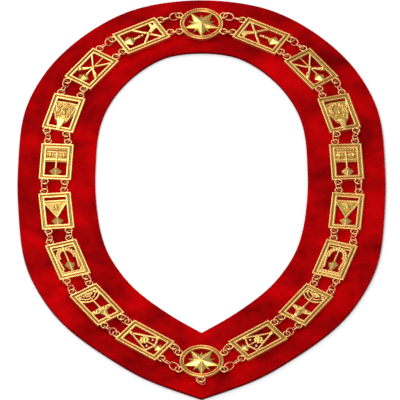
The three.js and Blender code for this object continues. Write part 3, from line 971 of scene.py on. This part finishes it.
def turned_band():
    inside, outside = MEDALLION_RADIUS - MEDALLION_BAND, MEDALLION_RADIUS
    section = [
        (inside, 0), (outside, 0), (outside, 2.6), (outside - 0.5, 3.3), (outside - 1.1, 3.3),
        (outside - 1.7, 1.8), (inside + 1.5, 1.8), (inside + 1.0, 3.1), (inside + 0.5, 3.1), (inside, 2.6),
    ]
    bpy.ops.mesh.primitive_circle_add(vertices=len(section), radius=1, fill_type="NGON")
    ring = bpy.context.object
    for corner, (x, z) in zip(ring.data.vertices, section):
        corner.co = (x, 0, z)
    bpy.ops.object.mode_set(mode="EDIT")
    bpy.ops.mesh.select_all(action="SELECT")
    bpy.ops.mesh.spin(steps=TURNING_STEPS, angle=2 * math.pi, center=(0, 0, 0), axis=(0, 0, 1))
    bpy.ops.mesh.select_all(action="SELECT")
    bpy.ops.mesh.remove_doubles(threshold=SEAM)
    bpy.ops.object.mode_set(mode="OBJECT")
    open_with_faces(ring, len(section))
    bpy.ops.mesh.delete(type="ONLY_FACE")
    close_outwards()
    return ring


STAR_CORNERS = 10


def pointed_star(reach, waist, edge, peak, facing):
    """Five points, the first towards +Y, or towards -Y where facing is -1."""
    bpy.ops.mesh.primitive_cone_add(vertices=STAR_CORNERS, radius1=1, radius2=0, depth=1)
    star = bpy.context.object
    for corner in star.data.vertices:
        if corner.co.z > 0:
            corner.co = (0, 0, peak)
            continue
        angle = math.atan2(corner.co.y, corner.co.x)
        spoke = round((angle - math.pi / 2) / (math.pi / 5))
        far = reach if spoke % 2 == 0 else waist
        corner.co = (facing * far * math.cos(angle), facing * far * math.sin(angle), edge)
    open_with_faces(star, STAR_CORNERS)
    bpy.ops.mesh.extrude_region_move(TRANSFORM_OT_translate={"value": (0, 0, -edge)})
    close_outwards()
    return star


medallions = {}
for name, extra in (("medallion_top", []), ("medallion_bottom", [-90])):
    corner_ears = [
        turn + way * MEDALLION_EAR_ANGLE for turn, way in ((0, 1), (0, -1), (180, -1), (180, 1))
    ]
    angles = [math.radians(angle) for angle in corner_ears + extra]
    ears = [ear(MEDALLION_EAR_REACH * math.cos(a), MEDALLION_EAR_REACH * math.sin(a)) for a in angles]
    star = pointed_star(reach=17.4, waist=7.6, edge=2.2, peak=4.4, facing=-1)
    rays = pointed_star(reach=13.2, waist=5.0, edge=1.7, peak=2.9, facing=1)
    casting = fuse(name + "_cast", [turned_band(), star, rays, *ears], MEDALLION_FACES)
    node_low, node_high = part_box(name)
    middle_y = (
        node_high.y - MEDALLION_RADIUS * MM if extra else (node_low.y + node_high.y) / 2
    )
    place = Vector((0, middle_y, node_low.z))
    medallions[name] = place
    settle(casting, f"{name}_casting", place, 0, name, gilt_casting)
    print(name, "stands at", tuple(round(v, 4) for v in place), len(casting.data.polygons), "triangles")
    discard(casting)

# %% [markdown]
# ## Jump rings
# A jump ring is round wire bent to an oval. A curve suits it: a Bezier circle drawn out along X with a
# round bevel keeps the wire's thickness however far it is drawn, where scaling a torus would not. Where
# two rings hook through each other they are joined by a boolean, so the join is one body.

# %% Rings between the ears
LINK_WIRE, LINK_HALF_WIDTH, LINK_TILT, LINK_BITE = 0.6, 3.2, 40, 0.38
LONGEST_SINGLE_SPAN = 13.5


def wire_ring(half_length, half_width, wire_radius):
    bpy.ops.curve.primitive_bezier_circle_add(radius=1)
    ring = bpy.context.object
    bpy.ops.object.mode_set(mode="EDIT")
    bpy.ops.curve.select_all(action="SELECT")
    bpy.ops.transform.resize(value=(half_length, half_width, 1))
    bpy.ops.object.mode_set(mode="OBJECT")
    ring.data.bevel_depth = wire_radius
    ring.data.bevel_resolution = 3
    ring.data.resolution_u = 12
    make_active(ring)
    bpy.ops.object.convert(target="MESH")
    return bpy.context.object


def lay_ring(ring, tilt, heading, middle):
    ring.data.transform(
        Matrix.Translation(middle) @ Matrix.Rotation(heading, 4, "Z") @ Matrix.Rotation(tilt, 4, "X")
    )


def join_rings(node, start, end, lean):
    """The ring or the two rings between two ear holes, in millimetres."""
    span = (end - start).length
    along = (end - start).normalized()
    heading = math.atan2(along.y, along.x)
    tilt = math.radians(LINK_TILT) * lean
    if span <= LONGEST_SINGLE_SPAN:
        piece = wire_ring(span / 2, LINK_HALF_WIDTH, LINK_WIRE)
        lay_ring(piece, tilt, heading, (start + end) / 2)
    else:
        half = (span + 2 * LINK_WIRE - LINK_BITE) / 4
        piece = wire_ring(half, LINK_HALF_WIDTH, LINK_WIRE)
        lay_ring(piece, tilt, heading, start + along * half)
        second = wire_ring(half, LINK_HALF_WIDTH, LINK_WIRE)
        lay_ring(second, -tilt, heading, end - along * half)
        apply_modifier(piece, "BOOLEAN", operation="UNION", object=second, solver="EXACT")
        discard(second)
    make_active(piece)
    bpy.ops.object.shade_smooth()
    settle(piece, node.replace("links", "rings"), Vector(), 0, node, gilt_wire)
    discard(piece)


def ear_hole(side, number, outward, towards_top):
    place, turn = plates[side, number]
    mirror = -1 if side == "left" else 1
    hole = Vector((outward * mirror * EAR_X, towards_top * EAR_Y, EAR_HEIGHT))
    return place / MM + Matrix.Rotation(turn, 3, "Z") @ hole


def medallion_hole(name, mirror, angle):
    angle = math.radians(angle)
    aside, along = mirror * MEDALLION_EAR_REACH * math.cos(angle), MEDALLION_EAR_REACH * math.sin(angle)
    return medallions[name] / MM + Vector((aside, along, EAR_HEIGHT))


for side, mirror in (("left", -1), ("right", 1)):
    for edge, outward in (("outer", 1), ("inner", -1)):
        holes = [medallion_hole("medallion_top", mirror, outward * MEDALLION_EAR_ANGLE)]
        for number in range(1, len(DESIGNS) + 1):
            holes += [ear_hole(side, number, outward, 1), ear_hole(side, number, outward, -1)]
        holes.append(medallion_hole("medallion_bottom", mirror, -outward * MEDALLION_EAR_ANGLE))
        for gap in range(len(DESIGNS) + 1):
            node = f"links_{side}_{edge}_{gap + 1}"
            join_rings(node, holes[2 * gap], holes[2 * gap + 1], outward * mirror)
print("rings laid")

# %% [markdown]
# ## The ring at the foot
# A wider ring hangs through the fifth ear of the lower medallion, for a jewel. That ear gives its
# place.

# %% Pendant ring
PENDANT_HALF_WIDTH, PENDANT_HALF_LENGTH, PENDANT_TILT = 4.6, 3.6, 30
PENDANT_LIFT, PENDANT_INSET = 0.8, 1.0
pendant = wire_ring(PENDANT_HALF_LENGTH, PENDANT_HALF_WIDTH, LINK_WIRE)
pendant.data.transform(Matrix.Translation((0, PENDANT_LIFT, 0)))
pendant.data.transform(Matrix.Rotation(math.radians(PENDANT_TILT), 4, "X"))
foot_ear = medallions["medallion_bottom"] / MM + Vector((0, -MEDALLION_EAR_REACH, EAR_HEIGHT))
pendant.data.transform(
    Matrix.Translation(foot_ear + Vector((0, PENDANT_INSET - PENDANT_HALF_LENGTH, 0)))
    @ Matrix.Rotation(math.pi / 2, 4, "Z")
)
make_active(pendant)
bpy.ops.object.shade_smooth()
settle(pendant, "pendant_ring_wire", Vector(), 0, "pendant_ring", gilt_wire)
discard(pendant)

# %% Measure and finish
low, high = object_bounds()
print("the dressed box runs from", tuple(low), "to", tuple(high))
